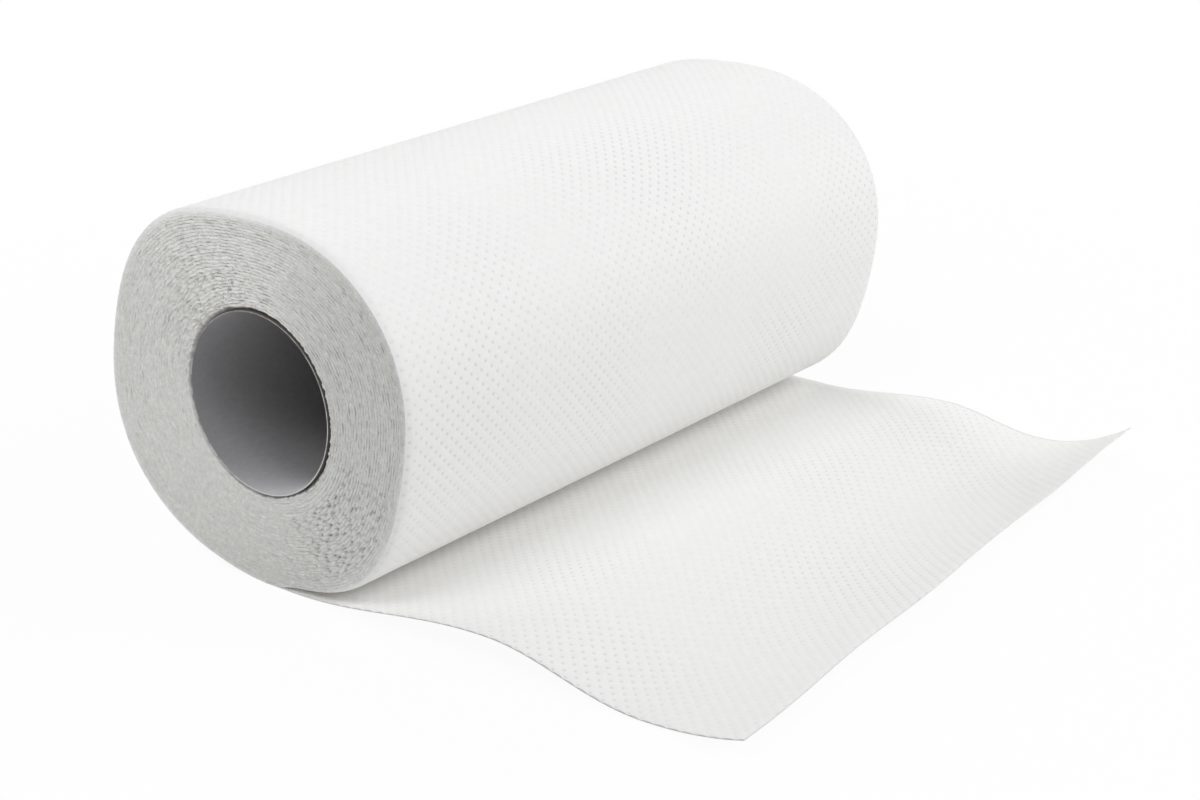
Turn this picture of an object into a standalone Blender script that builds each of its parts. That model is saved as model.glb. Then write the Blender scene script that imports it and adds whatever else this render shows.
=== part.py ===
# Paper towel roll lying on its side, its loose end spread over the floor.
#
# Metres, +Z up. The origin is on the floor, under the axis of the core and at half the
# width of the web. +Y runs along the core, and the loose end leaves the roll towards +X.

from math import cos, floor, hypot, pi, radians, sin

import bmesh
import bpy

# Web: one long strip of towel paper, wound from the core outwards
web_width = 0.220
web_thickness = 0.00053
turn_gap = 0.00033
turn_sides = 44

# Section of the wound roll, pressed soft and oval by its own weight
mean_radius = 0.0544
axis_height = 0.0513
core_shift = 0.0018

# Swellings of the section: how many crests, how high, and where the first crest points
lobe_shares = (
    (2, 0.032, radians(0.0)),
    (3, 0.008, radians(50.0)),
    (4, 0.028, radians(38.5)),
    (6, 0.007, radians(13.0)),
)

# Core: a tube of spiral-wound cardboard
core_outer_diameter = 0.0504
core_wall = 0.0005
core_clearance = 0.00035
core_sides = 88

# Lip of the last turn, past the spot that the roll stands on, up to the perforation where
# the loose sheet begins
lip_length = 0.0011
lip_steps = 3
contact_steps = 90
perforation_gap = 0.0003

# Loose sheet: how far each edge reaches from the core's axis, and its lazy wave
near_reach = 0.1543
far_reach = 0.1423
near_crest = 0.0073
far_crest = 0.0043
near_lift = 0.0046
far_lift = 0.0109
tear_ripple = 0.0007
tear_waves = 3
loose_steps = 36
loose_strips = 8

# Where the wave starts, crests and touches down again, as shares of the way from the end of
# the spot that the roll stands on to the torn edge
near_wave_shares = (0.008, 0.472, 0.789)
far_wave_shares = (0.194, 0.533, 0.767)

# Colours as linear light
paper_colour = (0.84, 0.84, 0.825, 1.0)
board_colour = (0.42, 0.41, 0.40, 1.0)
paper_roughness = 0.95
board_roughness = 0.85

full_turn = 2.0 * pi
down = 1.5 * pi
half_width = web_width / 2.0


def clear_scene():
    for item in list(bpy.data.objects):
        bpy.data.objects.remove(item, do_unlink=True)


def make_material(name, colour, roughness):
    material = bpy.data.materials.new(name)
    material.use_nodes = True
    shader = material.node_tree.nodes["Principled BSDF"]
    shader.inputs["Base Color"].default_value = colour
    shader.inputs["Roughness"].default_value = roughness
    shader.inputs["Metallic"].default_value = 0.0
    material.diffuse_color = colour
    return material


def make_object(name, shape, material):
    mesh = bpy.data.meshes.new(name)
    shape.to_mesh(mesh)
    shape.free()
    mesh.materials.append(material)
    mesh.shade_smooth()
    mesh.set_sharp_from_angle(angle=radians(30.0))
    item = bpy.data.objects.new(name, mesh)
    bpy.context.collection.objects.link(item)
    return item


def mix(start, end, share):
    return start + (end - start) * share


def section_radius(angle):
    swelling = sum(share * cos(lobes * (angle - crest)) for lobes, share, crest in lobe_shares)
    return mean_radius * (1.0 + swelling)


def outermost_point(angle):
    # Middle of the paper in the last turn, flattened where the roll stands
    radius = section_radius(angle) - web_thickness / 2.0
    lowest = web_thickness / 2.0 - axis_height
    return radius * cos(angle) - core_shift, max(radius * sin(angle), lowest)


def innermost_point(angle):
    radius = core_outer_diameter / 2.0 + core_clearance + web_thickness / 2.0
    return radius * cos(angle), radius * sin(angle)


def paper_build(angle):
    outer = outermost_point(angle)
    inner = innermost_point(angle)
    return hypot(outer[0] - inner[0], outer[1] - inner[1])


def turn_count():
    thinnest = min(paper_build(full_turn * step / turn_sides) for step in range(turn_sides))
    return floor(thinnest / (web_thickness + turn_gap))


def wound_points():
    # The turns widen evenly from the core outwards. The last two sides before the roll's
    # lowest line keep their full size, so that the spot it stands on is truly flat.
    turns = turn_count()
    stations = turns * turn_sides
    widest_at = (stations - 2) * full_turn / turn_sides
    points = []
    for station in range(stations + 1):
        wound = full_turn * station / turn_sides
        share = min(1.0, wound / widest_at)
        inner = innermost_point(down + wound)
        outer = outermost_point(down + wound)
        points.append((mix(inner[0], outer[0], share), mix(inner[1], outer[1], share) + axis_height))
    return points


def contact_reach():
    # How far the spot that the roll stands on reaches towards the loose end
    lowest = web_thickness / 2.0 - axis_height
    reach = -core_shift
    for step in range(contact_steps):
        place, height = outermost_point(mix(down, full_turn, step / contact_steps))
        if height <= lowest:
            reach = max(reach, place)
    return reach


def lip_points():
    # From the roll's lowest line the paper runs on, flat on the floor, to the perforation
    line = -core_shift
    end = contact_reach() + lip_length
    return [
        (mix(line, end, step / lip_steps), web_thickness / 2.0) for step in range(1, lip_steps + 1)
    ]


def wave_height(share, wave_shares, crest, lift):
    start, top, touch = wave_shares
    if share < start:
        return 0.0
    if share < top:
        return crest * (1.0 - cos(pi * (share - start) / (top - start))) / 2.0
    if share < touch:
        return crest * (1.0 + cos(pi * (share - top) / (touch - top))) / 2.0
    return lift * ((share - touch) / (1.0 - touch)) ** 2


def loose_point(along, across):
    # along runs from the perforation to the torn edge, across from the near edge to the far one
    contact = contact_reach()
    start = contact + lip_length + perforation_gap
    ripple = tear_ripple * sin(full_turn * tear_waves * across)
    place = mix(start, mix(near_reach, far_reach, across) + ripple, along)
    near_share = (place - contact) / (near_reach - contact)
    far_share = (place - contact) / (far_reach - contact)
    near_height = wave_height(near_share, near_wave_shares, near_crest, near_lift)
    far_height = wave_height(far_share, far_wave_shares, far_crest, far_lift)
    height = web_thickness / 2.0 + mix(near_height, far_height, across)
    return place, mix(-half_width, half_width, across), height


def skin_grid(sheet, grid):
    rows = [[sheet.verts.new(point) for point in line] for line in grid]
    for row, following in zip(rows, rows[1:]):
        for left in range(len(row) - 1):
            sheet.faces.new((row[left], following[left], following[left + 1], row[left + 1]))


def thicken_paper(item):
    skin = item.modifiers.new("Paper thickness", "SOLIDIFY")
    skin.thickness = web_thickness
    skin.offset = 0.0
    skin.use_even_offset = True


def make_wound_turns(material):
    # Every turn of the web, as one unbroken spiral with air between its turns
    sheet = bmesh.new()
    points = wound_points() + lip_points()
    skin_grid(sheet, [[(x, -half_width, z), (x, half_width, z)] for x, z in points])
    thicken_paper(make_object("wound_turns", sheet, material))


def make_loose_sheet(material):
    # The first towel, which hangs on at the perforation and lies waving on the floor
    sheet = bmesh.new()
    skin_grid(
        sheet,
        [
            [loose_point(step / loose_steps, strip / loose_strips) for strip in range(loose_strips + 1)]
            for step in range(loose_steps + 1)
        ],
    )
    thicken_paper(make_object("loose_sheet", sheet, material))


def make_core(material):
    # A rectangle of board turned once round the axis
    outer = core_outer_diameter / 2.0
    bore = outer - core_wall
    tube = bmesh.new()
    corners = ((outer, -half_width), (outer, half_width), (bore, half_width), (bore, -half_width))
    profile = [tube.verts.new((radius, along, axis_height)) for radius, along in corners]
    edges = [tube.edges.new(pair) for pair in zip(profile, profile[1:] + profile[:1])]
    bmesh.ops.spin(
        tube,
        geom=profile + edges,
        cent=(0.0, 0.0, axis_height),
        axis=(0.0, 1.0, 0.0),
        angle=full_turn,
        steps=core_sides,
        use_merge=True,
    )
    bmesh.ops.remove_doubles(tube, verts=tube.verts, dist=core_wall / 100.0)
    bmesh.ops.recalc_face_normals(tube, faces=tube.faces)
    make_object("core_tube", tube, material)


def build():
    clear_scene()
    make_core(make_material("Core board", board_colour, board_roughness))
    paper = make_material("Towel paper", paper_colour, paper_roughness)
    make_wound_turns(paper)
    make_loose_sheet(paper)


build()
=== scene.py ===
# %% [markdown]
# # A paper towel roll with its loose end spread out
#
# The object is one strip of embossed towel paper, wound on a cardboard tube and laid on
# its side. The loose end leaves the roll at its lowest line and waves over the floor. The
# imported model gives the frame: the tube, the wound turns and the loose sheet, in metres.
# This script keeps their places and gives them their looks.

from math import cos, hypot, pi, radians, sin

import bmesh
import bpy
import mathutils
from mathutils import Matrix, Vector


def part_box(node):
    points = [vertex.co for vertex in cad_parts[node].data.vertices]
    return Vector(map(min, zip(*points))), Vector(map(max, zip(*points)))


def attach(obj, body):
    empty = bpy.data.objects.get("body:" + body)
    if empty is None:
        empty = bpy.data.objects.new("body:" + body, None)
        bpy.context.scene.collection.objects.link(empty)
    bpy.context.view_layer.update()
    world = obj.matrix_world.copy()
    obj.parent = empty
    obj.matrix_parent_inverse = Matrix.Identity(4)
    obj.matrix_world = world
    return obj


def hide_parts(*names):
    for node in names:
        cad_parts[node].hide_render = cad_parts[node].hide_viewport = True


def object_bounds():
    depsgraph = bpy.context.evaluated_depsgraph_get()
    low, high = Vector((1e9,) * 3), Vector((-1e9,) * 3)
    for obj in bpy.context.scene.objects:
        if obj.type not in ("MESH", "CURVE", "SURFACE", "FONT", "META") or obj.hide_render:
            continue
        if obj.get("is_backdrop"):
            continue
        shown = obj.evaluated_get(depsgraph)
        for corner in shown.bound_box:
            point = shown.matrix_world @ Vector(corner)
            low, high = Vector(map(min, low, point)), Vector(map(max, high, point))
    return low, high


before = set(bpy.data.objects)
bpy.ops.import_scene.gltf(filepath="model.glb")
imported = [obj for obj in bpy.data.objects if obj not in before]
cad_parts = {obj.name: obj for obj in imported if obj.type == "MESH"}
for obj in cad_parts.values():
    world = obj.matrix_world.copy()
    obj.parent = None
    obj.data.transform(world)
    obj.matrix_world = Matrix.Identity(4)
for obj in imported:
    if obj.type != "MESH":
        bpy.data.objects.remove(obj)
cad_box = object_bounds()
print("CAD nodes:", sorted(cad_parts))

# %% [markdown]
# The camera comes first, because every later choice is judged through it. It stands in
# front of the roll, a little to its right, and looks down on it by about twenty degrees.
# A long lens keeps the far end of the roll nearly as large as the near one.

# %% Place the camera
camera_place = (0.4298, -0.5173, 0.2744)
camera_tilt = radians(69.24)
camera_turn = radians(37.93)
lens_length = 72.6
nearest_seen = 0.01


def make_camera():
    camera = bpy.data.objects.new("Camera", bpy.data.cameras.new("Camera"))
    camera.location = camera_place
    camera.rotation_euler = (camera_tilt, 0.0, camera_turn)
    camera.data.lens = lens_length
    camera.data.clip_start = nearest_seen
    bpy.context.scene.collection.objects.link(camera)
    bpy.context.scene.camera = camera
    return camera


bpy.context.scene.view_settings.view_transform = "Standard"
print("camera at", tuple(round(value, 3) for value in make_camera().location))

# %% [markdown]
# Both geometry and materials are built from nodes here. Written by hand, a node tree is a
# long list of links that hides the sum it works out. One small class turns a socket into
# something that Python can add and multiply, so the sum stays readable.

# %% A wire that can be added and multiplied
class Wire:
    """One output of a node. A sum written on wires adds the nodes that work it out."""

    def __init__(self, tree, socket=None):
        self.tree = tree
        self.socket = socket

    def node(self, kind, values=(), settings=(), output=0):
        made = self.tree.nodes.new(kind)
        for name, setting in dict(settings).items():
            setattr(made, name, setting)
        for name, value in dict(values).items():
            if isinstance(value, Wire):
                self.tree.links.new(value.socket, made.inputs[name])
            else:
                made.inputs[name].default_value = value
        return Wire(self.tree, made.outputs[output])

    def other(self, output):
        return Wire(self.tree, self.socket.node.outputs[output])

    def maths(self, operation, *others):
        terms = (self, *others)
        setting = {"operation": operation}
        if any(is_vector(term) for term in terms):
            vectors = enumerate(as_vector(term) for term in terms)
            return self.node("ShaderNodeVectorMath", vectors, setting)
        return self.node("ShaderNodeMath", enumerate(terms), setting)

    def __add__(self, other):
        return self.maths("ADD", other)

    __radd__ = __add__

    def __sub__(self, other):
        return self.maths("SUBTRACT", other)

    def __rsub__(self, other):
        return self.node("ShaderNodeMath", {0: other, 1: self}, {"operation": "SUBTRACT"})

    def __mul__(self, other):
        return self.maths("MULTIPLY", other)

    __rmul__ = __mul__

    def __truediv__(self, other):
        return self.maths("DIVIDE", other)

    def __rtruediv__(self, other):
        return self.node("ShaderNodeMath", {0: other, 1: self}, {"operation": "DIVIDE"})

    def __pow__(self, other):
        return self.maths("POWER", other)


def is_vector(term):
    if isinstance(term, Wire):
        return term.socket.type in ("VECTOR", "RGBA")
    return hasattr(term, "__len__")


def as_vector(term):
    return term if isinstance(term, Wire) or is_vector(term) else (term, term, term)


print("a wire adds its own nodes")

# %% [markdown]
# Some rules of the roll's shape are needed twice: as numbers, for the paths that the
# paper follows, and as nodes, for the turns at the roll's ends. These helpers take either.

# %% Functions for numbers and wires alike
full_turn = 2.0 * pi
down = 1.5 * pi


def cosine(angle):
    return angle.maths("COSINE") if isinstance(angle, Wire) else cos(angle)


def sine(angle):
    return angle.maths("SINE") if isinstance(angle, Wire) else sin(angle)


def larger(value, limit):
    return value.maths("MAXIMUM", limit) if isinstance(value, Wire) else max(value, limit)


def smaller(value, limit):
    return value.maths("MINIMUM", limit) if isinstance(value, Wire) else min(value, limit)


def between(value, low, high):
    return smaller(larger(value, low), high)


def mix(start, end, share):
    return start + (end - start) * share


print("the lowest line of the roll is at", round(down, 3), "radians")

# %% [markdown]
# A geometry tree needs the same few steps each time: named inputs, and at its end the
# instances made real and a material. The result is read from the evaluated object and
# kept as a plain mesh, so no modifier is left to be worked out again later.

# %% Open, close and run a geometry tree
def open_tree(name, inputs):
    tree = bpy.data.node_groups.new(name, "GeometryNodeTree")
    tree.interface.new_socket("Geometry", in_out="OUTPUT", socket_type="NodeSocketGeometry")
    tree.interface.new_socket("Geometry", in_out="INPUT", socket_type="NodeSocketGeometry")
    tree.interface.new_socket("Finish", in_out="INPUT", socket_type="NodeSocketMaterial")
    for label, kind in inputs.items():
        tree.interface.new_socket(label, in_out="INPUT", socket_type="NodeSocket" + kind)
    return Wire(tree).node("NodeGroupInput")


def close_tree(shape, given):
    real = shape.node("GeometryNodeRealizeInstances", {"Geometry": shape})
    smooth = real.node("GeometryNodeSetShadeSmooth", {"Geometry": real})
    dress = {"Geometry": smooth, "Material": given.other("Finish")}
    dressed = real.node("GeometryNodeSetMaterial", dress)
    out = shape.tree.nodes.new("NodeGroupOutput")
    shape.tree.links.new(dressed.socket, out.inputs["Geometry"])
    return shape.tree


def plain_mesh(piece):
    """Puts the evaluated shape of a piece in the place of its modifiers."""
    bpy.context.view_layer.update()
    graph = bpy.context.evaluated_depsgraph_get()
    ready = piece.evaluated_get(graph)
    mesh = bpy.data.meshes.new_from_object(ready, preserve_all_data_layers=True, depsgraph=graph)
    piece.modifiers.clear()
    piece.data = mesh
    mesh.name = piece.name
    return piece


def grow(name, tree, values):
    piece = bpy.data.objects.new(name, bpy.data.meshes.new(name))
    bpy.context.scene.collection.objects.link(piece)
    modifier = piece.modifiers.new("Grow", "NODES")
    modifier.node_group = tree
    for item in tree.interface.items_tree:
        if item.in_out == "INPUT" and item.name in values:
            modifier[item.identifier] = values[item.name]
    return plain_mesh(piece)


def report(piece):
    triangles = sum(len(face.vertices) - 2 for face in piece.data.polygons)
    size = [round(1000.0 * value, 1) for value in piece.dimensions]
    print(piece.name, "has", triangles, "triangles and measures", size, "mm")


print("trees end in real, smooth, dressed geometry")

# %% [markdown]
# The section of the roll isn't a circle. The roll is soft, so its own weight has pressed
# it wide and low, with a flat spot underneath, and the core has sunk a little off centre.
# A few cosine swellings of a circle describe that, and they are the same as in the CAD.
# Each has a number of crests, a height and the direction of its first crest.

# %% The section of the roll
half_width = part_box("wound_turns")[1].y
web_width = 2.0 * half_width
web_thickness = 0.00053
turn_gap = 0.00033
mean_radius = 0.0544
axis_height = 0.0513
core_shift = 0.0018
core_outer_radius = 0.0252
core_clearance = 0.00035
lobe_shares = (
    (2, 0.032, radians(0.0)),
    (3, 0.008, radians(50.0)),
    (4, 0.028, radians(38.5)),
    (6, 0.007, radians(13.0)),
)


def section_radius(angle):
    swelling = 1.0
    for lobes, share, crest in lobe_shares:
        swelling = swelling + cosine((angle - crest) * lobes) * share
    return swelling * mean_radius


def outermost_point(angle):
    radius = section_radius(angle) - web_thickness / 2.0
    lowest = web_thickness / 2.0 - axis_height
    return cosine(angle) * radius - core_shift, larger(sine(angle) * radius, lowest)


def innermost_point(angle):
    radius = core_outer_radius + core_clearance + web_thickness / 2.0
    return cosine(angle) * radius, sine(angle) * radius


def paper_build(angle):
    outer = outermost_point(angle)
    inner = innermost_point(angle)
    return outer[0] - inner[0], outer[1] - inner[1]


thinnest = min(hypot(*paper_build(radians(degree))) for degree in range(360))
turns = int(thinnest / (web_thickness + turn_gap))
print("the paper lies", turns, "turns deep,", round(1000.0 * thinnest, 1), "mm at its thinnest")

# %% [markdown]
# The web widens turn by turn from the core outwards. Only the last turn is seen from
# outside. It starts over the roll's lowest line, goes once round and comes down on the
# floor, where it runs on as the loose sheet. Just before that it stops widening, so that
# the roll stands flat. A point of the web is found from how far the web has been wound,
# and from how high the point stands over the middle of the paper.

# %% A point of the wound web
flat_share = 1.0 / 22.0
widest_at = turns - flat_share


def middle_share(wound):
    return smaller(wound / widest_at, 1.0)


def web_point(wound, rise):
    angle = down + full_turn * wound
    inner = innermost_point(angle)
    build = paper_build(angle)
    share = middle_share(wound) + rise / hypot(*build)
    return inner[0] + build[0] * share, inner[1] + build[1] * share + axis_height


def outer_face_points(across, steps):
    wounds = [mix(turns - 1.0, turns, step / steps) for step in range(steps + 1)]
    places = [web_point(wound, web_thickness / 2.0) for wound in wounds]
    return [(x, across, z) for x, z in places]


landing = web_point(turns, 0.0)
print("the last turn comes down at", [round(1000.0 * value, 2) for value in landing], "mm")

# %% [markdown]
# The loose sheet lies on the floor, swells in one lazy wave, touches down and lifts
# again towards its torn edge. Its two side edges do this a little differently, so the
# sheet is the surface that rules between two paths. The wave starts, crests and touches
# down at shares of the way from the roll's flat spot to the torn edge.

# %% The side edges of the loose sheet
contact_reach = 0.0081
near_reach = 0.1543
far_reach = 0.1423
near_crest = 0.0073
far_crest = 0.0043
near_lift = 0.0046
far_lift = 0.0109
near_wave_shares = (0.008, 0.472, 0.789)
far_wave_shares = (0.194, 0.533, 0.767)
edge_steps = 240


def wave_height(share, wave_shares, crest, lift):
    start, top, touch = wave_shares
    if share < start:
        return 0.0
    if share < top:
        return crest * (1.0 - cos(pi * (share - start) / (top - start))) / 2.0
    if share < touch:
        return crest * (1.0 + cos(pi * (share - top) / (touch - top))) / 2.0
    return lift * ((share - touch) / (1.0 - touch)) ** 2


def sheet_edge_points(across, reach, wave_shares, crest, lift):
    points = []
    for step in range(edge_steps + 1):
        x = mix(-core_shift, reach, step / edge_steps)
        share = (x - contact_reach) / (reach - contact_reach)
        height = wave_height(share, wave_shares, crest, lift)
        points.append((x, across, web_thickness / 2.0 + height))
    return points


def path_length(points):
    return sum(hypot(*(b - a for a, b in zip(*pair))) for pair in zip(points, points[1:]))


near_edge = sheet_edge_points(-half_width, near_reach, near_wave_shares, near_crest, near_lift)
far_edge = sheet_edge_points(half_width, far_reach, far_wave_shares, far_crest, far_lift)
sheet_length = (path_length(near_edge) + path_length(far_edge)) / 2.0
print("the loose sheet is", round(1000.0 * sheet_length), "mm long")

# %% [markdown]
# The towel is embossed: steel pins press small round dimples into it, in rows that are
# offset by half a step. Modelled one by one they would be ten thousand shapes, so one
# cell is modelled and repeated. A diamond is the shape that tiles a staggered pattern.
# It holds one dimple: a ring of six points at the rim and one at the bottom.

# %% One cell of the embossing
emboss_along_web = 0.0038
emboss_rows = 112
dimple_radius = 0.00066
dimple_sides = 6
row_pitch = web_width / emboss_rows


def fan(cell, centre, ring):
    for here, following in zip(ring, ring[1:]):
        cell.faces.new((centre, here, following))


def make_dimple_cell():
    cell = bmesh.new()
    corners = ((1, 0), (0, 1), (-1, 0), (0, -1))
    right, far, left, near = (cell.verts.new((x, y, 0)) for x, y in corners)
    reach = dimple_radius / row_pitch
    angles = [full_turn * side / dimple_sides for side in range(dimple_sides)]
    rim = [cell.verts.new((reach * cos(angle), reach * sin(angle), 0)) for angle in angles]
    bottom = cell.verts.new((0, 0, -1))
    fan(cell, bottom, rim + rim[:1])
    fan(cell, right, (far, rim[1], rim[0], rim[5], near))
    fan(cell, left, (near, rim[4], rim[3], rim[2], far))
    cell.faces.new((far, rim[2], rim[1]))
    cell.faces.new((near, rim[5], rim[4]))
    mesh = bpy.data.meshes.new("dimple_cell")
    cell.to_mesh(mesh)
    cell.free()
    return bpy.data.objects.new("dimple_cell", mesh)


dimple_cell = make_dimple_cell()
print("one cell has", len(dimple_cell.data.polygons), "triangles")

# %% [markdown]
# The first half of the web's tree lays the cells out flat, as points found from their
# number, and trims them to the web's edges: points that stick out are moved to the edge,
# and the faces that this leaves with no area are deleted. The pattern is shifted by half
# a cell and has two rows more than the web, so that dimples reach both edges.

# %% Lay out the cells of a flat web
border_rows = 2.0
cell_shift = 0.5
hair = 1e-6
weld_reach = 10.0 * hair


def lay_cells(given):
    rows = given.other("Rows")
    index = given.node("GeometryNodeInputIndex")
    row = index.maths("MODULO", rows)
    column = (index / rows).maths("FLOOR")
    half_along = given.other("Length") / given.other("Half periods")
    row_width = given.other("Width") / (rows - border_rows)
    along = (column * 2.0 + row.maths("MODULO", 2.0) - cell_shift) * half_along
    place = given.node("ShaderNodeCombineXYZ", {"X": along, "Y": (row - cell_shift) * row_width})
    count = rows * (given.other("Half periods") / 2.0 + 1.0)
    points = given.node("GeometryNodePoints", {"Count": count, "Position": place})
    cell = given.node("GeometryNodeObjectInfo", {"Object": given.other("Cell")}, output="Geometry")
    sides = {"X": half_along, "Y": row_width, "Z": given.other("Depth")}
    size = given.node("ShaderNodeCombineXYZ", sides)
    repeat = {"Points": points, "Instance": cell, "Scale": size}
    laid = given.node("GeometryNodeInstanceOnPoints", repeat)
    return given.node("GeometryNodeRealizeInstances", {"Geometry": laid})


def trim_cells(given, sheet):
    parts = given.node("ShaderNodeSeparateXYZ", {"Vector": given.node("GeometryNodeInputPosition")})
    along = between(parts, 0.0, given.other("Length"))
    across = between(parts.other("Y"), 0.0, given.other("Width"))
    kept = along.maths("COMPARE", parts, hair) * across.maths("COMPARE", parts.other("Y"), hair)
    place = {"X": along, "Y": across, "Z": parts.other("Z") * kept}
    inside = given.node("ShaderNodeCombineXYZ", place)
    trimmed = given.node("GeometryNodeSetPosition", {"Geometry": sheet, "Position": inside})
    weld = {"Geometry": trimmed, "Distance": weld_reach}
    welded = given.node("GeometryNodeMergeByDistance", weld)
    area = given.node("GeometryNodeInputMeshFaceArea")
    drop = {"Geometry": welded, "Selection": area.maths("LESS_THAN", weld_reach * weld_reach)}
    return given.node("GeometryNodeDeleteGeometry", drop, {"domain": "FACE"})


def keep(sheet, name, value, kind):
    values = {"Geometry": sheet, "Name": name, "Value": value}
    settings = {"data_type": kind, "domain": "POINT"}
    return sheet.node("GeometryNodeStoreNamedAttribute", values, settings)


print("a web", round(1000.0 * web_width), "mm wide has", emboss_rows, "rows of dimples")

# %% [markdown]
# The second half bends the flat sheet along two paths, one for each side edge. How far a
# point lies along the web gives its place on both paths, and how far across it lies mixes
# the two. The same tree makes the roll's skin and the loose sheet. Paper rounds over at a
# cut edge, so points close to one drop. The loose sheet's start, hidden under the roll,
# closes faster. The roll's skin has no ends of its own, so it puts them out of reach, and
# at its start, on the seam, its rim sags on to the loose sheet.

# %% Bend the web along two paths
rim_width = 0.0024
hidden_end_haste = 8.0
tail_length = 0.018
sag_reach = 0.0135
sag_fade = 0.006
tear_waves = 3
swell_scale = 22.0
swell_onset = 0.35


def along_path(given, path, share):
    info = given.node("GeometryNodeObjectInfo", {"Object": given.other(path)}, output="Geometry")
    values = {"Curves": info, "Factor": share}
    sample = info.node("GeometryNodeSampleCurve", values, {"mode": "FACTOR"})
    return sample.other("Position"), sample.other("Tangent")


def seam_fades(from_start, to_end):
    """How near the seam the rim is, on both sides, and how far it sags, on the start side only."""
    near_seam = between(1.0 - smaller(from_start, to_end) / tail_length, 0.0, 1.0)
    sagging = between((sag_reach - from_start) / sag_fade, 0.0, 1.0)
    return near_seam, sagging * sagging


def edge_closeness(given, parts):
    """1 at an edge of the web, and 0 from the rim's width inwards."""
    sides = smaller(parts.other("Y"), given.other("Width") - parts.other("Y"))
    ends = smaller(parts * hidden_end_haste, given.other("Length") - parts)
    nearest = smaller(sides, ends + given.other("Open ends"))
    closeness = larger(1.0 - nearest / rim_width, 0.0)
    return closeness * closeness


def bend_web(given, flat, side):
    """Lays the flat web along the paths. Side is 1 for its upper face and -1 for its lower one."""
    place = given.node("GeometryNodeInputPosition")
    parts = given.node("ShaderNodeSeparateXYZ", {"Vector": place})
    along = parts / given.other("Length")
    across = parts.other("Y") / given.other("Width")
    first, first_way = along_path(given, "First edge", along)
    second, second_way = along_path(given, "Second edge", along)
    way = mix(first_way, second_way, across)
    normal = way.maths("CROSS_PRODUCT", second - first).maths("NORMALIZE")
    ripple = sine(across * (full_turn * tear_waves)) * along * given.other("Ripple")
    swell = given.node("ShaderNodeTexNoise", {"Vector": place, "Scale": swell_scale, "Detail": 1.0})
    rise = larger(swell - swell_onset, 0.0) * given.other("Swell") * along
    near_seam, sagging = seam_fades(parts, given.other("Length") - parts)
    drop = given.other("Rim round") - near_seam * given.other("Tail") - sagging * given.other("Sag")
    proud = given.other("Lift") + parts.other("Z") - edge_closeness(given, parts) * drop
    bent = mix(first, second, across) + normal * (proud * side + rise) + way * ripple
    return given.node("GeometryNodeSetPosition", {"Geometry": flat, "Position": bent})


def build_web_tree():
    objects = dict.fromkeys(("Cell", "First edge", "Second edge"), "Object")
    sizes = ("Rows", "Half periods", "Length", "Width", "Depth", "Lift")
    edges = ("Rim round", "Tail", "Sag", "Open ends", "Ripple", "Swell")
    numbers = dict.fromkeys((*sizes, *edges), "Float")
    given = open_tree("Embossed web", {**objects, **numbers, "Two faces": "Bool"})
    flat = trim_cells(given, lay_cells(given))
    place = given.node("GeometryNodeInputPosition")
    parts = given.node("ShaderNodeSeparateXYZ", {"Vector": place})
    flat = keep(flat, "web_place", place, "FLOAT_VECTOR")
    flat = keep(flat, "pressed", parts.other("Z") / given.other("Depth") * -1.0, "FLOAT")
    upper = bend_web(given, flat, 1.0)
    lower = given.node("GeometryNodeFlipFaces", {"Mesh": bend_web(given, flat, -1.0)})
    both = upper.node("GeometryNodeJoinGeometry", {"Geometry": upper})
    both.tree.links.new(lower.socket, both.socket.node.inputs["Geometry"])
    closed = both.node("GeometryNodeMergeByDistance", {"Geometry": both, "Distance": weld_reach})
    faces = {"Switch": given.other("Two faces"), "False": upper, "True": closed}
    return close_tree(given.node("GeometryNodeSwitch", faces, {"input_type": "GEOMETRY"}), given)


web_tree = build_web_tree()
print("the web tree has", len(web_tree.nodes), "nodes")

# %% [markdown]
# A finish is a Principled shader whose colour and bumps come from wires. These helpers
# are shared by all finishes. Colours go through Mix and Vector Math, because a Math node
# would turn them grey. A noise has soft hills of middle height. Multiplied, shifted and
# cut off it becomes patches, and the sums below do that again and again.

# %% Helpers for the finishes
unstretched = (1.0, 1.0, 1.0)


def new_finish(name, roughness, shine):
    finish = bpy.data.materials.new(name)
    finish.use_nodes = True
    shader = finish.node_tree.nodes["Principled BSDF"]
    shader.inputs["Roughness"].default_value = roughness
    shader.inputs["Specular IOR Level"].default_value = shine
    return finish, shader, Wire(finish.node_tree)


def plug(shader, name, wire):
    wire.tree.links.new(wire.socket, shader.inputs[name])


def attribute(start, name, output="Fac"):
    return start.node("ShaderNodeAttribute", settings={"attribute_name": name}, output=output)


def noise_at(place, stretch, scale, detail=2.0):
    values = {"Vector": place * stretch, "Scale": scale, "Detail": detail}
    return place.node("ShaderNodeTexNoise", values)


def tinted(tone, colour):
    return tone.node("ShaderNodeCombineXYZ", {"X": tone, "Y": tone, "Z": tone}) * colour


def blend(share, first, second):
    """Mixes two colours. The colour sockets of a Mix node have the numbers 6, 7 and 2."""
    ends = [end if isinstance(end, Wire) else (*end, 1.0) for end in (first, second)]
    values = {"Factor": share, 6: ends[0], 7: ends[1]}
    return share.node("ShaderNodeMix", values, {"data_type": "RGBA"}, 2)


def bumped(height, distance, strength):
    values = {"Height": height, "Strength": strength, "Distance": distance}
    return height.node("ShaderNodeBump", values)


print("finishes are mixed from wires")
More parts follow.
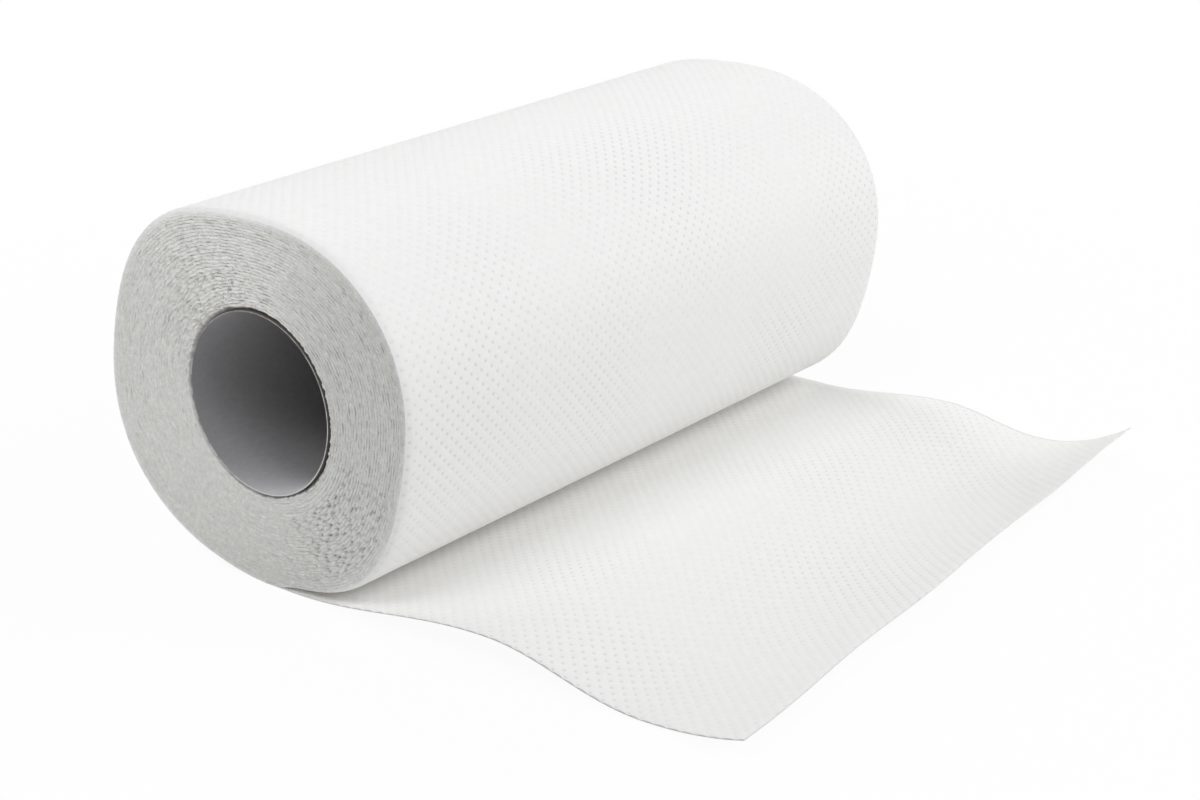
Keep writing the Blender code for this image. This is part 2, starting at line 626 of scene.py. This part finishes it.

# %% [markdown]
# Towel paper is bleached, matt and almost white, with fibres that catch the light
# unevenly. Along the web it is creped, so it carries fine wrinkles that run across. The
# pressed spots are denser, and they are painted greyer as painted shade in the dimples, in
# some patches more than in others. The pattern reads the flat place that each point had
# before it was bent, so the wrinkles follow the web round the roll.

# %% Towel paper
paper_white = (0.925, 0.92, 0.905)
crepe_scale = 2600.0
crepe_stretch = (1.0, 0.18, 1.0)
mottle_scale = 420.0
mottle_stretch = (1.0, 0.6, 1.0)
patch_scale = 16.0
weave_shade = 0.06
# Painted shade in the dimples, deepest at their bottoms.
dimple_painted_shade = 0.2
crepe_height = 0.00006


def make_paper():
    finish, shader, start = new_finish("Towel paper", 0.95, 0.15)
    place = attribute(start, "web_place", "Vector")
    pressed = attribute(start, "pressed")
    crepe = noise_at(place, crepe_stretch, crepe_scale)
    mottle = noise_at(place, mottle_stretch, mottle_scale, 3.0)
    pit_shade_patches = between(noise_at(place, unstretched, patch_scale, 1.0) * 3.0 - 1.0, 0.1, 1.0)
    weave = 1.0 + (mottle + crepe - 1.0) * weave_shade
    # Painted shade: each dimple is darkened by its depth, more in some patches than in others.
    tone = weave - pressed ** 0.7 * pit_shade_patches * dimple_painted_shade
    plug(shader, "Base Color", tinted(tone, paper_white))
    plug(shader, "Normal", bumped(crepe * 0.6 + mottle * 0.8, crepe_height, 0.5))
    return finish


paper = make_paper()
print("towel paper is ready:", paper.name)

# %% [markdown]
# The roll's side is the outer face of the last turn, one dimpled skin that goes once
# round. It starts and ends at the roll's lowest line. There its rims come down to the
# floor, and where the turn starts they sag by the step at the seam, so that no slot is
# left over the loose sheet. Both rims are drawn in a little and rounded, because loose
# paper rounds over at a cut edge.

# %% The last turn of the roll
emboss_depth = 0.00030
rim_round = 0.0010
rim_back = 0.0004
rim_over_floor = 0.00005
path_steps = 480
seam_step = web_point(turns - 1.0, 0.0)[1] - web_point(turns, 0.0)[1]
round_length = path_length(outer_face_points(half_width, path_steps))


def make_path(name, points):
    curve = bpy.data.curves.new(name, "CURVE")
    curve.dimensions = "3D"
    line = curve.splines.new("POLY")
    line.points.add(len(points) - 1)
    for spot, place in zip(line.points, points):
        spot.co = (*place, 1.0)
    return bpy.data.objects.new(name, curve)


def emboss_along(name, first, second, length, **values):
    paths = [make_path(name + "_first", first), make_path(name + "_second", second)]
    sizes = {
        "Finish": paper,
        "Cell": dimple_cell,
        "First edge": paths[0],
        "Second edge": paths[1],
        "Rows": emboss_rows + border_rows,
        "Half periods": 2.0 * round(length / emboss_along_web),
        "Length": length,
        "Width": web_width,
        "Depth": emboss_depth,
    }
    piece = grow(name, web_tree, {**sizes, **values})
    for path in paths:
        bpy.data.curves.remove(path.data)
    return piece


def make_outer_turn():
    far_side = outer_face_points(half_width - rim_back, path_steps)
    near_side = outer_face_points(rim_back - half_width, path_steps)
    rims = {"Rim round": rim_round, "Tail": rim_round - rim_over_floor, "Sag": seam_step}
    spread = {"Width": web_width - 2.0 * rim_back, "Open ends": 1.0}
    return emboss_along("outer_turn", far_side, near_side, round_length, **rims, **spread)


outer_turn = make_outer_turn()
report(outer_turn)

# %% [markdown]
# The loose sheet comes from the same tree, along its own two paths. It shows both of its
# faces, so it gets the thickness of the real two-ply paper. Its end was torn off along a
# perforation, which leaves a slightly wavy edge, and the paper swells a little off the
# floor where it was rolled for months.

# %% The loose sheet
tear_ripple = 0.0007
loose_swell = 0.0006


def make_loose_towel():
    faces = {"Two faces": True, "Lift": web_thickness / 2.0, "Rim round": web_thickness / 2.0}
    ends = {"Ripple": tear_ripple, "Swell": loose_swell}
    return emboss_along("loose_towel", near_edge, far_edge, sheet_length, **faces, **ends)


loose_towel = make_loose_towel()
report(loose_towel)

# %% [markdown]
# At the roll's two ends every turn shows its cut edge. The turns aren't all alike there.
# At the upper left, next to the core, they are crumpled. At the lower right, half-way
# out, their two plies have come apart and air pockets gape between them. Both places are
# directions round the roll, with a fade to each side.

# %% Where the turns are crumpled and where they gape
crumpled_at = radians(132.0)
crumpled_narrowness = 7.0
crumpled_reach = 1.25
pockets_open_at = radians(316.0)
pockets_narrowness = 14.0
pockets_plateau = 2.4
pockets_fall = 16.0


def signed_noise(place, stretch, scale, detail=1.0):
    return (noise_at(place, stretch, scale, detail) - 0.5) * 2.0


def near_angle(angle, crest, narrowness):
    """1 in the direction of the crest, and 0 on the opposite side."""
    return ((cosine(angle - crest) + 1.0) / 2.0) ** narrowness


def crumpling(angle, share):
    """How much the turns are crumpled: most at the upper left, next to the core."""
    inward = between(crumpled_reach - share, 0.0, 1.0)
    return near_angle(angle, crumpled_at, crumpled_narrowness) * inward


def pocket_opening(angle, share):
    """How wide the air pockets gape: most at the lower right, half-way out."""
    off_middle = share - 0.5
    midway = between(pockets_plateau - off_middle * off_middle * pockets_fall, 0.0, 1.0)
    return near_angle(angle, pockets_open_at, pockets_narrowness) * midway


for label, crest in (("crumpled", crumpled_at), ("gaping", pockets_open_at)):
    print("the turns are most", label, "at", round(crest, 2), "radians")

# %% [markdown]
# The ends are relief grids wound up as a spiral, six lanes for each turn. The turns
# aren't perfectly round either. Where the roll was squeezed they buckle, so noise shifts
# them in and out, and the innermost ones have come off the core and leave a ragged gap.
# All of this moves one number: how far out a lane lies, from 0 at the core to 1 at the
# last turn.

# %% How far out a lane of the cut edges lies
lanes = 6
start_taper = 0.05
rim_sharpness = 9.0
half_step = 0.5
buckle = 0.7
buckle_scale = 330.0
buckle_everywhere = 0.15
buckle_onset = 8.0
loose_turns = 2.5
loose_core_at = radians(322.0)
loose_core_narrowness = 20.0
loose_crumples_narrowness = 9.0
loose_everywhere = 0.1
fray = 0.7
fray_scale = 900.0


def laid_out(round_share, wound, row, lane, pitch):
    """How far out a lane of a perfect roll lies, and how near its turn is to the last one."""
    taper = smaller(wound / start_taper, 1.0)
    lane_share = mix(1.0, larger(lane, 0.0), taper)
    outermost = smaller((row / lanes + round_share) / turns, 1.0)
    near_seam, sagging = seam_fades(round_share * round_length, (1.0 - round_share) * round_length)
    rim_edge = web_thickness / 2.0 - mix(rim_round, rim_over_floor, near_seam)
    inset = outermost ** rim_sharpness * (0.5 - rim_edge / pitch)
    sag = row.maths("COMPARE", lanes * turns, half_step) * sagging
    return (smaller(wound, widest_at) - 0.5 + lane_share - inset + sag) / widest_at, outermost


def buckled(share, level, angle, outermost):
    """Moves a lane in or out. The core and the last turn hold their lanes in place."""
    free = between(share * (1.0 - outermost) * buckle_onset, 0.0, 1.0)
    strength = crumpling(angle, share) + buckle_everywhere
    bulge = signed_noise(level, unstretched, buckle_scale) * strength
    return share + bulge * free * buckle / widest_at


def loosened(share, level, angle):
    """Moves a lane away from the core, as far as the innermost turns have come loose."""
    core_side = larger(1.0 - share * widest_at / loose_turns, 0.0)
    frayed = signed_noise(level, unstretched, fray_scale, 2.0) * fray
    at_core = near_angle(angle, loose_core_at, loose_core_narrowness) * 0.6
    at_crumples = near_angle(angle, crumpled_at, loose_crumples_narrowness) * 0.4
    loose = at_core + at_crumples + loose_everywhere
    return share + core_side * core_side * larger(loose + frayed, 0.0) / widest_at


print("the ends have", lanes * turns, "lanes, and the inner", loose_turns, "turns are loose")

# %% [markdown]
# A lane's place in the section follows from that number, between the innermost and the
# outermost point in its direction. One more row lies inside the board of the core and
# closes the gap in front of it.

# %% Where a lane of the cut edges lies
level_size = (0.05, 0.05, 0.03)


def lane_place(given):
    """How far round the roll a grid point lies, and its row, its turn and its lane in that turn."""
    parts = given.node("ShaderNodeSeparateXYZ", {"Vector": given.node("GeometryNodeInputPosition")})
    row = ((parts.other("Y") + 0.5) * (given.other("Rows") - 1.0)).maths("ROUND") - 1.0
    turn = between((row / lanes).maths("FLOOR"), 0.0, turns - 1.0)
    return parts + 0.5, row, turn, row / lanes - turn


def lane_point(given, round_share, row, turn, lane):
    """The lane's place in the roll's section, and how far the web is wound there."""
    angle = down + full_turn * round_share
    wound = turn + round_share
    inner = innermost_point(angle)
    build = paper_build(angle)
    pitch = (build[0] * build[0] + build[1] * build[1]).maths("SQRT") / widest_at
    share, outermost = laid_out(round_share, wound, row, lane, pitch)
    place = {"X": cosine(angle), "Y": sine(angle), "Z": share}
    level = given.node("ShaderNodeCombineXYZ", place) * level_size
    share = loosened(buckled(share, level, angle, outermost), level, angle)
    in_core = row.maths("LESS_THAN", -half_step)
    core = core_outer_radius - core_clearance
    x = mix(inner[0] + build[0] * share, cosine(angle) * core, in_core)
    z = mix(inner[1] + build[1] * share, sine(angle) * core, in_core) + axis_height
    return x, z, angle, wound, share


print("a lane's place follows from how far round and how far out it lies")

# %% [markdown]
# The depth of a lane follows its number: a groove at the first, a pocket at the fourth,
# and the ragged edges of the two plies between them. The pockets keep the beat of the
# dimples along the web, so they come out staggered from turn to turn, as on a real roll.
# Noise opens some gaps and leaves others shut.

# %% How deep a lane of the cut edges lies
groove_depth = 0.0009
pocket_depth = 0.0008
ragged_depth = 0.0005
core_gap_depth = 0.002
lane_width = 0.00015
pocket_lanes = 1.2
beat_steepness = 2.5
beat_level = 0.2
uneven_stretch = (1.8, 3.0, 1.0)
uneven_scale = 420.0
shift_stretch = (1.0, 3.0, 1.0)
shift_scale = 120.0
ragged_stretch = (0.5, 1.0, 1.0)
ragged_scale = 800.0
# Painted shade in the open grooves and pockets, on top of the shade that their depth gives.
groove_shade = 0.4
pocket_shade = 0.9


def web_length(wound):
    smallest = core_outer_radius + core_clearance
    return (smallest + (mean_radius - smallest) / (2.0 * turns) * wound) * wound * full_turn


def dimple_beats(web_way, along):
    """1 between two dimples and 0 at a dimple, shifted a little from turn to turn."""
    shift = signed_noise(web_way, shift_stretch, shift_scale) * 2.0
    wave = sine(along * (full_turn / emboss_along_web) + shift)
    return between(wave * beat_steepness + beat_level, 0.0, 1.0)


def open_gaps(web_way, along, angle, share):
    """How far the grooves and the pockets are open, and how ragged the plies are.

    Both open more where the turns gape or are crumpled, and crumpled plies are more ragged.
    """
    uneven = signed_noise(web_way, uneven_stretch, uneven_scale, 2.0) * 2.0 + 0.4
    uneven = between(uneven, 0.0, 1.0)
    crumpled = crumpling(angle, share)
    gaping = pocket_opening(angle, share)
    apart = gaping * (uneven * 1.1 - 0.1) + crumpled * 0.7 * uneven
    pocket = dimple_beats(web_way, along) * between(apart, 0.0, 1.0)
    groove = between(crumpled * 0.45 + gaping * 0.1 + 0.15, 0.0, 1.0) * uneven
    return groove, pocket, crumpled * 1.5 - gaping * 0.4 + 1.0


def lane_depth(given, round_share, row, angle, wound, share):
    """How far a point lies under the end's plane, and how much painted shade its gap gets."""
    beat = row.maths("FLOORED_MODULO", lanes)
    in_groove = beat.maths("COMPARE", 0.0, half_step)
    in_pocket = beat.maths("COMPARE", lanes / 2.0, pocket_lanes)
    in_core = row.maths("LESS_THAN", -half_step)
    along = web_length(wound)
    across = (row + round_share * lanes) * lane_width
    way = {"X": along, "Y": across, "Z": given.other("End")}
    web_way = given.node("ShaderNodeCombineXYZ", way)
    groove, pocket, raggedness = open_gaps(web_way, along, angle, share)
    # Painted shade: how dark the open grooves and pockets are painted; the row in the core is
    # painted fully dark.
    gap = in_groove * groove * groove_shade + in_pocket * pocket * pocket * pocket_shade
    ragged = between(signed_noise(web_way, ragged_stretch, ragged_scale, 3.0) + 0.5, 0.0, 1.0)
    deep = in_groove * groove * groove_depth + in_pocket * pocket * pocket_depth
    deep = deep + ragged * raggedness * ragged_depth
    return mix(deep, core_gap_depth, in_core), larger(gap, in_core), web_way


print("the paper on the roll is", round(web_length(float(turns)), 2), "m long")

# %% [markdown]
# Now the grid can be wound. One tree makes both ends: its input End is -1 for the near
# one and 1 for the far one, and it also turns the faces so that both point outwards. The
# tree keeps what the finish needs: how much painted shade a gap gets, how near the rim a
# point lies, and the painted light and shade by direction: lighter at the top and darker
# at the right.

# %% The tree of the cut edges
edge_stations = 480
rim_turns = 2.2
# Painted light at the top of the cut ends and painted shade at their right.
painted_light_at = radians(100.0)
painted_light_narrowness = 8.0
painted_shade_at = radians(20.0)
painted_shade_narrowness = 3.0
painted_shade_share = 0.8
spiral_weld = 0.000004


# Painted light and shade by direction round the roll: lighter at the top, darker at the right.
def end_painted_light(angle):
    painted_top_light = near_angle(angle, painted_light_at, painted_light_narrowness)
    return painted_top_light - near_angle(angle, painted_shade_at, painted_shade_narrowness) * painted_shade_share


def build_edge_tree():
    given = open_tree("Turn edges", dict.fromkeys(("Stations", "Rows", "End"), "Float"))
    counts = {"Vertices X": given.other("Stations"), "Vertices Y": given.other("Rows")}
    grid = given.node("GeometryNodeMeshGrid", {"Size X": 1.0, "Size Y": 1.0, **counts})
    round_share, row, turn, lane = lane_place(given)
    x, z, angle, wound, share = lane_point(given, round_share, row, turn, lane)
    deep, gap, web_way = lane_depth(given, round_share, row, angle, wound, share)
    rim = row.maths("COMPARE", lanes * turns, half_step)
    from_rim = larger(turns - row / lanes - round_share, 0.0)
    roundness = larger(1.0 - from_rim / rim_turns, 0.0)
    back = roundness * roundness * rim_back
    y = given.other("End") * (half_width - deep * (1.0 - roundness) - back)
    grid = keep(grid, "gap", gap * (1.0 - rim), "FLOAT")
    grid = keep(grid, "rim", roundness, "FLOAT")
    grid = keep(grid, "fluff", end_painted_light(angle), "FLOAT")
    grid = keep(grid, "web_way", web_way, "FLOAT_VECTOR")
    place = given.node("ShaderNodeCombineXYZ", {"X": x, "Y": y, "Z": z})
    laid = given.node("GeometryNodeSetPosition", {"Geometry": grid, "Position": place})
    inward = given.other("End").maths("LESS_THAN", 0.0)
    faced = given.node("GeometryNodeFlipFaces", {"Mesh": laid, "Selection": inward})
    weld = {"Geometry": faced, "Distance": spiral_weld}
    return close_tree(given.node("GeometryNodeMergeByDistance", weld), given)


edge_tree = build_edge_tree()
print("the edge tree has", len(edge_tree.nodes), "nodes")

# %% [markdown]
# A cut edge looks like felt: thousands of fibre ends, a little greyer than the flat
# paper and streaked along the turns. Its gaps get a brown painted shade, its top painted
# light and its right painted shade. Towards the rim, where the last turns round over, it
# fades into the white of the paper.

# %% Cut paper
cut_white = (0.875, 0.868, 0.835)
# Brown painted shade for the gaps.
painted_gap_shade_brown = (0.16, 0.13, 0.10)
streak_scale = 900.0
streak_stretch = (0.35, 1.0, 1.0)
streak_shade = 0.22
fibre_scale = 2600.0
fibre_stretch = (0.6, 1.0, 1.0)
fibre_shade = 0.4
lump_scale = 700.0
lump_shade = 0.3
end_light_strength = 0.19
rim_whiteness = 0.8
painted_gap_shade_strength = 0.85
felt_height = 0.0003


def make_cut_paper():
    finish, shader, start = new_finish("Cut paper", 1.0, 0.1)
    web_way = attribute(start, "web_way", "Vector")
    streaks = noise_at(web_way, streak_stretch, streak_scale, 3.0)
    fibres = noise_at(web_way, fibre_stretch, fibre_scale)
    lumps = noise_at(start.node("ShaderNodeTexCoord", output="Object"), unstretched, lump_scale)
    tone = 1.0 + (streaks - 0.5) * streak_shade + (fibres - 0.5) * fibre_shade
    # Painted light at the top and painted shade at the right of the cut ends.
    tone = tone + (lumps - 0.5) * lump_shade + attribute(start, "fluff") * end_light_strength
    felt = blend(attribute(start, "rim") ** 1.5 * rim_whiteness, cut_white, paper_white)
    # Painted shade: the gaps are painted brown.
    shade = blend(attribute(start, "gap") * painted_gap_shade_strength, felt, painted_gap_shade_brown)
    plug(shader, "Base Color", tinted(tone, shade))
    plug(shader, "Normal", bumped(fibres + streaks + lumps, felt_height, 0.7))
    return finish


cut_paper = make_cut_paper()
print("cut paper is ready:", cut_paper.name)

# %% [markdown]
# Both ends are grown with one call each. The rows are the lanes of all turns, with one
# more at the rim and one more inside the board of the core.

# %% The two ends of the roll
edge_rows = lanes * turns + 2.0


def make_turn_edges(name, end):
    counts = {"Stations": edge_stations + 1.0, "Rows": edge_rows}
    return grow(name, edge_tree, {"Finish": cut_paper, "End": end, **counts})


near_turn_edges = make_turn_edges("near_turn_edges", -1.0)
far_turn_edges = make_turn_edges("far_turn_edges", 1.0)
report(near_turn_edges)
report(far_turn_edges)

# %% [markdown]
# The core is grey recycled board, wound from two narrow strips that run round as a
# spiral. Its wall is half a millimetre thick and is spun from a section with softened
# corners, so that the cut rims catch a thin line of light.

# %% The core tube
core_sides = 256
core_wall = 0.0005
rim_softness = 0.00012


def wall_section():
    """The wall's eight points, each a radius and a place along the tube."""
    outer = core_outer_radius
    bore = outer - core_wall
    soft = rim_softness
    near_rim = ((bore, soft), (bore + soft, 0.0), (outer - soft, 0.0), (outer, soft))
    near_points = [(radius, inward - half_width) for radius, inward in near_rim]
    far_points = [(radius, half_width - inward) for radius, inward in reversed(near_rim)]
    return near_points + far_points


def make_core_tube():
    tube = bmesh.new()
    profile = [tube.verts.new((radius, along, axis_height)) for radius, along in wall_section()]
    edges = [tube.edges.new(pair) for pair in zip(profile, profile[1:] + profile[:1])]
    centre = (0.0, 0.0, axis_height)
    turned = {"cent": centre, "axis": (0.0, 1.0, 0.0), "angle": full_turn, "steps": core_sides}
    bmesh.ops.spin(tube, geom=profile + edges, use_merge=True, **turned)
    bmesh.ops.remove_doubles(tube, verts=tube.verts, dist=rim_softness / 10.0)
    bmesh.ops.recalc_face_normals(tube, faces=tube.faces)
    mesh = bpy.data.meshes.new("core_board_tube")
    tube.to_mesh(mesh)
    tube.free()
    mesh.shade_smooth()
    mesh.set_sharp_from_angle(angle=radians(50.0))
    piece = bpy.data.objects.new("core_board_tube", mesh)
    bpy.context.scene.collection.objects.link(piece)
    return piece


core_board_tube = make_core_tube()
report(core_board_tube)

# %% [markdown]
# The board is matt grey with darker flecks of old print and a spiral seam. The pattern
# reads Object coordinates: the angle round the axis and the way along it give the spiral.
# The cut rim is light but worn, and painted shade dulls it at the upper left. A pool of
# painted light lies at the bottom of both mouths and fades into the bore. The outside is
# dark brown: glue, and painted shade for the gap in front of the core.

# %% Core board
board_grey = (0.31, 0.302, 0.31)
rim_grey = (0.72, 0.72, 0.73)
# Glue brown, darkened further as painted shade for the gap in front of the core.
glue_and_gap_shade_brown = (0.10, 0.085, 0.07)
fleck_scale = 900.0
fleck_shade = 0.25
seam_pitch = 0.085
seam_width = 0.0012
seam_tone = 0.8
# Painted light: a pale pool at the bottom of each mouth, fading into the bore.
painted_crescent_reach = 0.018
painted_crescent_at = radians(298.0)
painted_crescent_narrowness = 5.0
wear_scale = 420.0
# Painted shade on the cut rim at the upper left.
painted_rim_shade_at = radians(115.0)
painted_rim_shade = 0.85
board_relief = 0.0003


def spiral_seam(parts, angle):
    turns_along = parts.other("Y") / seam_pitch + angle / full_turn
    from_seam = turns_along.maths("FLOORED_MODULO", 1.0) * (seam_pitch / seam_width)
    return smaller(from_seam, 1.0)


def pale_rim_and_painted_light(place, angle, depth):
    """How pale the board is: at its worn cut rim, dulled by painted shade at the upper left, and in
    painted light at the mouths' bottom.
    """
    worn = between(noise_at(place, unstretched, wear_scale) * 4.0 - 1.2, 0.3, 1.0)
    # Painted shade darkens the rim at the upper left.
    rim_shade = near_angle(angle, painted_rim_shade_at, 2.0) * painted_rim_shade
    rim = (1.0 - smaller(depth / (3.0 * rim_softness), 1.0)) * (worn - rim_shade)
    # Painted light at the bottom of the mouths, fading with depth.
    painted_crescent = larger(1.0 - depth / painted_crescent_reach, 0.0) * near_angle(angle, painted_crescent_at, painted_crescent_narrowness)
    return between(rim, painted_crescent ** 1.3 * 1.4, 1.0)


def make_board():
    finish, shader, start = new_finish("Core board", 0.8, 0.3)
    place = start.node("ShaderNodeTexCoord", output="Object")
    parts = place.node("ShaderNodeSeparateXYZ", {"Vector": place})
    height = parts.other("Z") - axis_height
    angle = height.maths("ARCTAN2", parts)
    seam = spiral_seam(parts, angle)
    depth = half_width - parts.other("Y").maths("ABSOLUTE")
    skin_radius = core_outer_radius - core_wall / 5.0
    outside = (parts * parts + height * height).maths("GREATER_THAN", skin_radius ** 2)
    flecks = noise_at(place, (1.0, 0.5, 1.0), fleck_scale, 3.0)
    tone = (1.0 + (flecks - 0.5) * fleck_shade) * mix(seam_tone, 1.0, seam)
    bore = blend(pale_rim_and_painted_light(place, angle, depth), board_grey, rim_grey)
    # The outside is glue brown, with painted shade for the gap in front of the core.
    plug(shader, "Base Color", tinted(tone, blend(outside, bore, glue_and_gap_shade_brown)))
    plug(shader, "Normal", bumped(seam * 0.3 + flecks * 0.2, board_relief, 0.5))
    return finish


core_board_tube.data.materials.append(make_board())
print("the core wears", core_board_tube.data.materials[0].name)

# %% [markdown]
# The floor is a plain white sweep. Its diffuse part takes the soft shadow, and a share of
# white that only the camera sees lifts the rest to the white of the background. That
# share grows to the whole away from the roll. The world is dim to the roll and white to
# the camera in the same way.

# %% Floor and surroundings
floor_drop = 0.0002
floor_size = 8.0
floor_white = (0.93, 0.93, 0.93, 1.0)
full_white = (1.0, 1.0, 1.0, 1.0)
floor_share = 0.94
shadow_reach = 0.2
shadow_fade = 0.35
world_light = 0.28


def seen_directly(start):
    path = start.node("ShaderNodeLightPath")
    seen = path.maths("MAXIMUM", path.other("Is Glossy Ray"))
    return seen.maths("MAXIMUM", path.other("Is Transmission Ray"))


def make_sweep():
    finish = bpy.data.materials.new("White sweep")
    finish.use_nodes = True
    start = Wire(finish.node_tree)
    lit = start.node("ShaderNodeBsdfDiffuse", {"Color": floor_white})
    white = start.node("ShaderNodeEmission", {"Color": full_white, "Strength": 1.0})
    place = start.node("ShaderNodeTexCoord", output="Object")
    parts = start.node("ShaderNodeSeparateXYZ", {"Vector": place})
    away = (parts * parts + parts.other("Y") * parts.other("Y")).maths("SQRT")
    share = mix(floor_share, 1.0, between((away - shadow_reach) / shadow_fade, 0.0, 1.0))
    mixed = start.node("ShaderNodeMixShader", {0: seen_directly(start) * share, 1: lit, 2: white})
    output = finish.node_tree.nodes["Material Output"]
    finish.node_tree.links.new(mixed.socket, output.inputs["Surface"])
    return finish


def make_floor():
    mesh = bpy.data.meshes.new("floor")
    half = floor_size / 2.0
    corners = ((-half, -half), (half, -half), (half, half), (-half, half))
    mesh.from_pydata([(x, y, -floor_drop) for x, y in corners], [], [(0, 1, 2, 3)])
    mesh.materials.append(make_sweep())
    floor = bpy.data.objects.new("floor", mesh)
    bpy.context.scene.collection.objects.link(floor)
    return floor


def make_world():
    world = bpy.data.worlds.new("White room")
    world.use_nodes = True
    start = Wire(world.node_tree)
    strength = mix(world_light, 1.0, seen_directly(start))
    lit = start.node("ShaderNodeBackground", {"Color": full_white, "Strength": strength})
    output = world.node_tree.nodes["World Output"]
    world.node_tree.links.new(lit.socket, output.inputs["Surface"])
    bpy.context.scene.world = world


floor = make_floor()
make_world()
print("the floor lies", 1000.0 * floor_drop, "mm under the paper")

# %% [markdown]
# Three large soft lamps light the roll as in a studio tent. The key lamp stands rather
# low on the loose sheet's side, towards the far end, and reaches in between the roll and
# the sheet. The front one hangs before and above the near end and lights its cut face.
# The left one lights the roll's back. Between two white papers light bounces many times
# before it fades, so it is followed for ten bounces.

# %% Lamps
lamp_tint = (0.975, 0.985, 1.0)
light_bounces = 10
lamps = {
    "Key": ((0.98, 0.59, 0.84), (0.03, 0.05, 0.05), 0.8, 8.9),
    "Front": ((0.05, -0.65, 1.15), (0.03, 0.0, 0.05), 0.7, 5.8),
    "Left": ((-0.8, 0.3, 0.72), (0.0, 0.05, 0.05), 0.5, 3.2),
}


def make_lamp(name, place, target, size, power):
    lamp = bpy.data.objects.new(name, bpy.data.lights.new(name, "AREA"))
    lamp.data.shape = "SQUARE"
    lamp.data.size = size
    lamp.data.energy = power
    lamp.data.color = lamp_tint
    lamp.location = place
    way = [b - a for a, b in zip(place, target)]
    lamp.rotation_euler = mathutils.Vector(way).to_track_quat("-Z", "Y").to_euler()
    bpy.context.scene.collection.objects.link(lamp)


for name, settings in lamps.items():
    make_lamp(name, *settings)
bpy.context.scene.cycles.diffuse_bounces = light_bounces

# %% [markdown]
# Each piece takes the place of a node of the imported model, which is hidden. Nothing on a
# roll moves, so every piece rides on the one body.

# %% Tie the pieces to the frame
ties = {
    "wound_turns": (outer_turn, near_turn_edges, far_turn_edges),
    "loose_sheet": (loose_towel,),
    "core_tube": (core_board_tube,),
}
for node, pieces in ties.items():
    for piece in pieces:
        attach(piece, "root")
        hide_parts(node)
floor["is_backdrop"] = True
bpy.data.meshes.remove(dimple_cell.data)

# %% [markdown]
# Last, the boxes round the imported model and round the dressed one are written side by
# side. They should differ by less than a millimetre.

# %% Write the sizes and finish
boxes = {"cad": cad_box, "visual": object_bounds()}
for name, box in boxes.items():
    print(name, "box:", [[round(1000.0 * value, 1) for value in corner] for corner in box], "mm")
